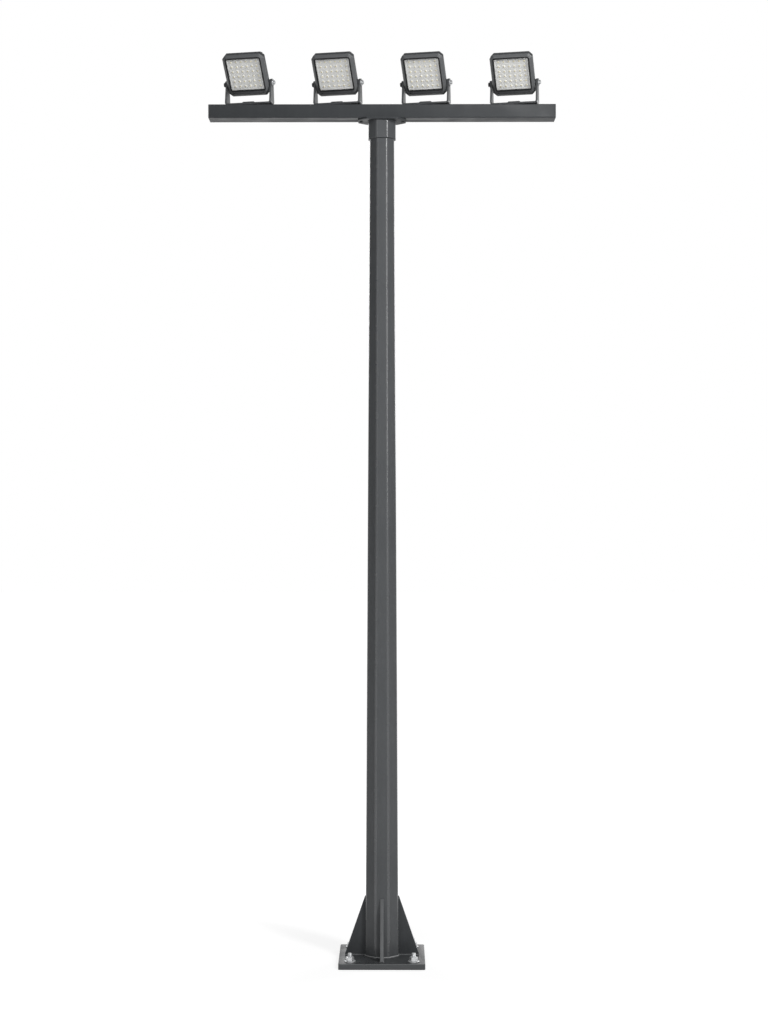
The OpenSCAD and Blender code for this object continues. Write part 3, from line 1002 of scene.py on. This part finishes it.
# Right of the lamp the disc is grey steel and the screw stainless; left of it both are black
# steel, as painted shade on that side.
disc_finish_left_shaded = {-1: 2, 1: 1}
head_finish_left_shaded = {-1: 2, 1: 0}
for number in lamp_numbers:
    lamp = "lamp_%d_" % number
    place = heads[number]
    bezel_front = head_box(lamp + "bezel", place)[0].y
    screw_low, screw_high = head_box(lamp + "pivot_screws", place)
    boss_end = head_box(lamp + "housing", place)[1].x + 0.0002
    panel_low, panel_high = head_box(lamp + "led_panel", place)
    middle = (panel_low + panel_high) / 2
    small = bmesh.new()
    for side in (-1, 1):
        spot = Vector(
            (
                side * (window_w / 2 - bezel_screw_in),
                bezel_front,
                middle.z - window_h / 2 - lip_w - bezel_screw_drop,
            )
        )
        screw = socket_head(0.0042, 0.0018, 0.0019, 0.0012, 0.0005)
        add_part(small, screw, in_front(place, spot))
    finish_piece(
        lamp + "small_screws",
        small,
        lamp + "head",
        (black_steel,),
        smooth=30.0,
    )
    pivots = bmesh.new()
    disc_r = (screw_high.z - screw_low.z) / 2
    disc_inside = screw_high.x - disc_t - head_t
    disc_outside = disc_inside + disc_t
    for side in (-1, 1):
        stand = place @ Matrix.Rotation(side * math.pi / 2, 4, "Y")
        disc = turn(
            (
                (0.0, disc_inside),
                (disc_r - disc_step, disc_inside),
                (disc_r, disc_inside + disc_step),
                (disc_r, disc_outside - disc_edge),
                (disc_r - disc_edge, disc_outside),
                (0.68 * disc_r, disc_outside),
                (0.64 * disc_r, disc_outside - disc_step),
                (0.0, disc_outside - disc_step),
            ),
            2 * serrations,
        )
        for vert in disc.verts:
            if off_axis(vert) > disc_r - 0.0002:
                tooth = math.atan2(vert.co.y, vert.co.x) / math.tau * serrations
                if round(tooth * 2) % 2:
                    widen(vert, serration_root)
        give_finish(disc, disc_finish_left_shaded[side])
        add_part(pivots, disc, stand)
        head = socket_head(pivot_head_r, head_t + disc_step, 0.0068, 0.006, 0.0016)
        give_finish(head, head_finish_left_shaded[side])
        head_inside = screw_high.x - head_t - disc_step
        add_part(pivots, head, stand @ Matrix.Translation((0, 0, head_inside)))
        shank = turn(
            (
                (0.0, boss_end),
                (pivot_shank_r, boss_end),
                (pivot_shank_r, disc_inside),
                (0.0, disc_inside),
            ),
            24,
        )
        add_part(pivots, shank, stand)
    finish_piece(
        lamp + "pivot_discs",
        pivots,
        lamp + "head",
        (stainless, disc_grey, black_steel),
        (lamp + "pivot_screws",),
        smooth=30.0,
    )

# ---- Driver lids and cable glands -------------------------------------------------------
# Behind each lamp a lid with a stamped panel closes the driver's compartment, on a rubber
# gasket and under six socket screws. Below it the cable gland is black nylon: a hexagon
# body and a fluted cap, closed by a rubber plug.
gland_nylon = powder_coat(
    "gland_nylon", (0.022, 0.022, 0.023), (0.030, 0.030, 0.031), 0.45, 1500.0, 0.4
)
lid_w = 0.150
lid_h = 0.122
lid_t = 0.003
lid_corner = 0.009
lid_screw_in = 0.009
lid_panel_in = (0.018, 0.013)
gasket_t = 0.0008
lid_middle_z = 0.076
gland_y = 0.0282
gland_top_z = 0.012
gland_across = 0.027
gland_flute_r = 0.0112
flute_root = 0.945


def round_slab(w, t, h, corner, edge):
    """An upright slab whose back has rounded corners and a rounded edge."""
    slab = bmesh.new()
    bmesh.ops.create_cube(slab, size=1.0)
    bmesh.ops.scale(slab, vec=(w, t, h), verts=slab.verts)
    across = [e for e in slab.edges if abs(e.verts[0].co.y - e.verts[1].co.y) > 0.5 * t]
    bmesh.ops.bevel(
        slab,
        geom=across,
        offset=corner,
        offset_type="OFFSET",
        affect="EDGES",
        segments=6,
        profile=0.5,
        material=-1,
    )
    # The rounded back edge takes the fourth finish, for the lids a paler edge paint: a painted
    # highlight.
    if edge:
        behind = [e for e in slab.edges if min(v.co.y for v in e.verts) > 0.4 * t]
        bmesh.ops.bevel(
            slab,
            geom=behind,
            offset=edge,
            offset_type="OFFSET",
            affect="EDGES",
            segments=2,
            profile=0.5,
            material=3,
        )
    return slab


for number in lamp_numbers:
    lamp = "lamp_%d_" % number
    place = heads[number]
    back_y = head_box(lamp + "housing", place)[1].y
    closing = bmesh.new()
    gasket = round_slab(lid_w + 0.001, gasket_t, lid_h + 0.001, 0.0095, 0.0)
    give_finish(gasket, 1)
    spot = Vector((0.0, back_y + gasket_t / 2, lid_middle_z))
    add_part(closing, gasket, place @ Matrix.Translation(spot))
    lid = round_slab(lid_w, lid_t, lid_h, lid_corner, 0.0009)
    spot = Vector((0.0, back_y + gasket_t + lid_t / 2, lid_middle_z))
    add_part(closing, lid, place @ Matrix.Translation(spot))
    panel_w = lid_w - 2 * lid_panel_in[0]
    panel_h = lid_h - 2 * lid_panel_in[1]
    panel = round_slab(panel_w, 0.0016, panel_h, 0.006, 0.0007)
    spot = Vector((0.0, back_y + gasket_t + lid_t + 0.0002, lid_middle_z))
    add_part(closing, panel, place @ Matrix.Translation(spot))
    for side in (-1, 1):
        for row in (-1, 0, 1):
            spot = Vector(
                (
                    side * (lid_w / 2 - lid_screw_in),
                    back_y + gasket_t + lid_t - 0.0001,
                    lid_middle_z + row * (lid_h / 2 - lid_screw_in),
                )
            )
            screw = socket_head(0.0040, 0.0022, 0.0019, 0.0014, 0.0005)
            give_finish(screw, 2)
            stand = place @ Matrix.Translation(spot) @ Matrix.Rotation(-math.pi / 2, 4, "X")
            add_part(closing, screw, stand)
    finish_piece(
        lamp + "driver_lid",
        closing,
        lamp + "head",
        (casting, rubber, stainless, casting_edge_highlight),
        smooth=30.0,
    )
    gland = bmesh.new()
    gland_top = Matrix.Translation((0.0, gland_y, gland_top_z))
    hang = place @ gland_top @ Matrix.Rotation(math.pi, 4, "X")
    add_part(gland, hexagon_nut(gland_across, 0.0083, 0.006), hang)
    cap = turn(
        (
            (0.0, 0.0080),
            (0.0110, 0.0080),
            (0.0117, 0.0092),
            (0.0117, 0.0200),
            (0.0109, 0.0243),
            (0.0066, 0.0248),
            (0.0, 0.0248),
        ),
        fine_steps,
    )
    for vert in cap.verts:
        rib = round(math.atan2(vert.co.y, vert.co.x) / math.tau * fine_steps)
        if off_axis(vert) > gland_flute_r and rib // 2 % 2:
            widen(vert, flute_root)
    add_part(gland, cap, hang)
    plug = turn(
        (
            (0.0, 0.0246),
            (0.0062, 0.0246),
            (0.0062, 0.0262),
            (0.0050, 0.0270),
            (0.0, 0.0270),
        ),
        24,
    )
    give_finish(plug, 1)
    add_part(gland, plug, hang)
    finish_piece(
        lamp + "cable_gland",
        gland,
        lamp + "head",
        (gland_nylon, rubber),
        smooth=30.0,
    )

# ---- Studio -----------------------------------------------------------------------------
# A plain white floor and surround. Two tall lights at the front right, one above the other,
# draw the bright line down the folds. A broad one, which paint doesn't mirror, lights the
# front, and two behind catch the sides. Glossy paint mirrors grey walls, darker to the left.
floor_half = 60.0
shadow_from = 0.6
shadow_to = 3.0
floor_mesh = bpy.data.meshes.new("floor")
plane = bmesh.new()
bmesh.ops.create_grid(plane, x_segments=1, y_segments=1, size=floor_half)
plane.to_mesh(floor_mesh)
plane.free()
floor = bpy.data.objects.new("floor", floor_mesh)
scene.collection.objects.link(floor)
floor_white, tree, shader, point = new_finish("floor_white", Roughness=1.0)
shader.inputs["Specular IOR Level"].default_value = 0.0
shader.inputs["Base Color"].default_value = (0.85, 0.85, 0.85, 1.0)
# For the camera, mirrors and glass the floor glows white on top of its own grey shading: painted
# light, weaker within 3 m of the pole so that shadows near the base show.
path = tree.nodes.new("ShaderNodeLightPath")
seen = add_node(tree, "ShaderNodeMath", operation="MAXIMUM")
tree.links.new(path.outputs["Is Camera Ray"], seen.inputs[0])
tree.links.new(path.outputs["Is Glossy Ray"], seen.inputs[1])
seen_too = add_node(tree, "ShaderNodeMath", operation="MAXIMUM")
tree.links.new(seen.outputs[0], seen_too.inputs[0])
tree.links.new(path.outputs["Is Transmission Ray"], seen_too.inputs[1])
pale = add_node(tree, "ShaderNodeBsdfDiffuse", {"Color": (0.35, 0.35, 0.35, 1.0)})
middle = add_node(tree, "ShaderNodeVectorMath", {0: point}, operation="LENGTH")
away = add_node(
    tree,
    "ShaderNodeMapRange",
    {
        "Value": middle.outputs["Value"],
        "From Min": shadow_from,
        "From Max": shadow_to,
        "To Min": 0.80,
        "To Max": 1.02,
    },
    interpolation_type="SMOOTHSTEP",
)
glow = add_node(tree, "ShaderNodeEmission", {"Strength": away.outputs["Result"]})
lifted = add_node(tree, "ShaderNodeAddShader")
tree.links.new(pale.outputs[0], lifted.inputs[0])
tree.links.new(glow.outputs[0], lifted.inputs[1])
both = add_node(tree, "ShaderNodeMixShader", {0: seen_too.outputs[0]})
tree.links.new(shader.outputs[0], both.inputs[1])
tree.links.new(lifted.outputs[0], both.inputs[2])
tree.links.new(both.outputs[0], tree.nodes["Material Output"].inputs["Surface"])
floor_mesh.materials.append(floor_white)

world = bpy.data.worlds.new("studio")
scene.world = world
world.use_nodes = True
tree = world.node_tree
path = tree.nodes.new("ShaderNodeLightPath")
direction = tree.nodes.new("ShaderNodeTexCoord").outputs["Generated"]
bearing = add_node(tree, "ShaderNodeSeparateXYZ", {"Vector": direction})
front_or_back = add_node(tree, "ShaderNodeMath", {0: bearing.outputs["Y"]}, operation="ABSOLUTE")
walls = add_node(tree, "ShaderNodeMath", operation="MULTIPLY")
tree.links.new(spread(tree, front_or_back.outputs[0], 0.35, 1.0, 0.2, 0.95), walls.inputs[0])
tree.links.new(spread(tree, bearing.outputs["X"], 0.55, 1.05, -0.65, 0.1), walls.inputs[1])
glossy = add_node(
    tree, "ShaderNodeMapRange", {"Value": path.outputs["Is Glossy Ray"], "To Min": 0.04}
)
tree.links.new(walls.outputs[0], glossy.inputs["To Max"])
plain_white = add_node(tree, "ShaderNodeMath", operation="MAXIMUM")
tree.links.new(path.outputs["Is Camera Ray"], plain_white.inputs[0])
tree.links.new(path.outputs["Is Transmission Ray"], plain_white.inputs[1])
strength = add_node(tree, "ShaderNodeMath", operation="MAXIMUM")
tree.links.new(glossy.outputs["Result"], strength.inputs[0])
tree.links.new(plain_white.outputs[0], strength.inputs[1])
background = tree.nodes["Background"]
background.inputs["Color"].default_value = (1.0, 1.0, 1.0, 1.0)
tree.links.new(strength.outputs[0], background.inputs["Strength"])


def softbox(name, place, aim, width, height, power, mirrored=True):
    """A rectangular soft light, which glossy paint may mirror or not."""
    light = bpy.data.lights.new(name, "AREA")
    light.shape = "RECTANGLE"
    light.size = width
    light.size_y = height
    light.energy = power
    lamp = bpy.data.objects.new(name, light)
    lamp.location = place
    lamp.visible_camera = False
    lamp.visible_glossy = mirrored
    lamp.rotation_euler = (Vector(aim) - Vector(place)).to_track_quat("-Z", "Y").to_euler()
    scene.collection.objects.link(lamp)


softbox("key", (5.4, -7.0, 9.0), (0.0, 0.0, 4.4), 1.3, 2.6, 440.0)
softbox("key_below", (5.4, -7.0, 5.2), (0.0, 0.0, 3.4), 1.3, 3.6, 135.0)
softbox("front", (-0.8, -10.0, 7.2), (0.0, 0.0, 3.8), 5.0, 5.0, 440.0, False)
softbox("back_left", (-5.5, 7.5, 6.5), (0.0, 0.0, 4.0), 3.0, 3.0, 190.0)
softbox("back_right", (6.5, 7.0, 5.5), (0.0, 0.0, 4.0), 3.0, 3.0, 190.0)
